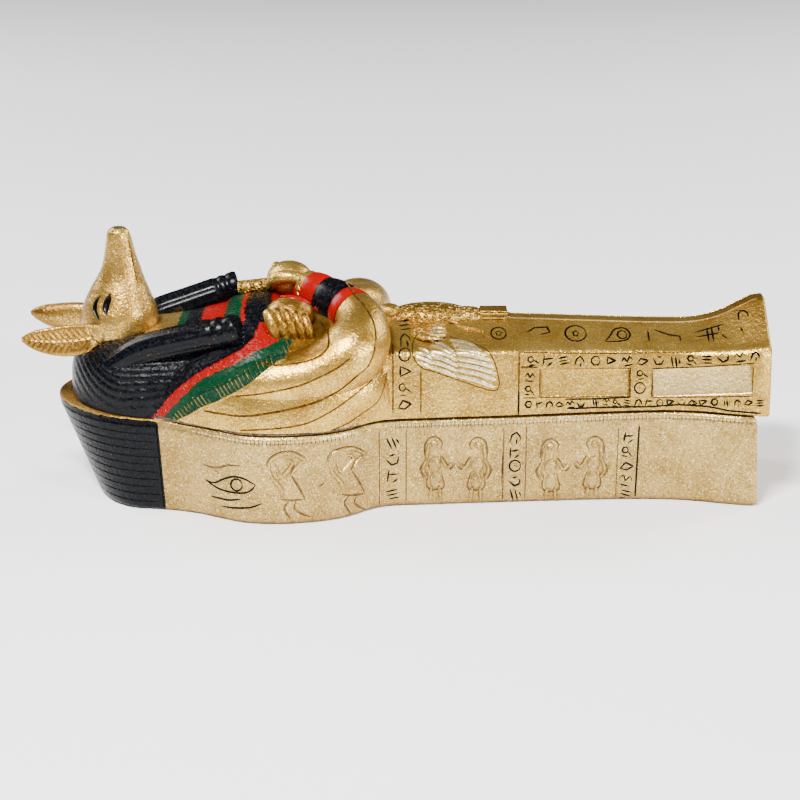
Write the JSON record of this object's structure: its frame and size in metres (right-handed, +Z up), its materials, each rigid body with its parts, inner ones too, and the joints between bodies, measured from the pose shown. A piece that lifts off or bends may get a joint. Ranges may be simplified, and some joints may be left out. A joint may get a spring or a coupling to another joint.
{
  "type": "lidded mummy-shaped souvenir box",
  "caption": "Small cast-resin box shaped like a lying mummy: hollow base and lift-off lid with a jackal head, striped wig, crossed arms, winged bird and carved leg panels.",
  "frame": {"origin": "centre of the bounding box at the underside", "axes": "+X from the jackal head to the foot, +Z up out of the lid, +Y across to the figure's left"},
  "size_m": [0.182, 0.0576, 0.0658],
  "materials": {
    "base_gilt": "satin gold paint over cast resin, black ink in the carving, black wig at the head end",
    "lid_gilt": "brighter gold paint over cast resin, with matt black, red and green paint on wig and collar"
  },
  "bodies": {
    "root": {"coffin_base": "base_gilt", "coffin_lid": "lid_gilt"}
  },
  "joints": []
}
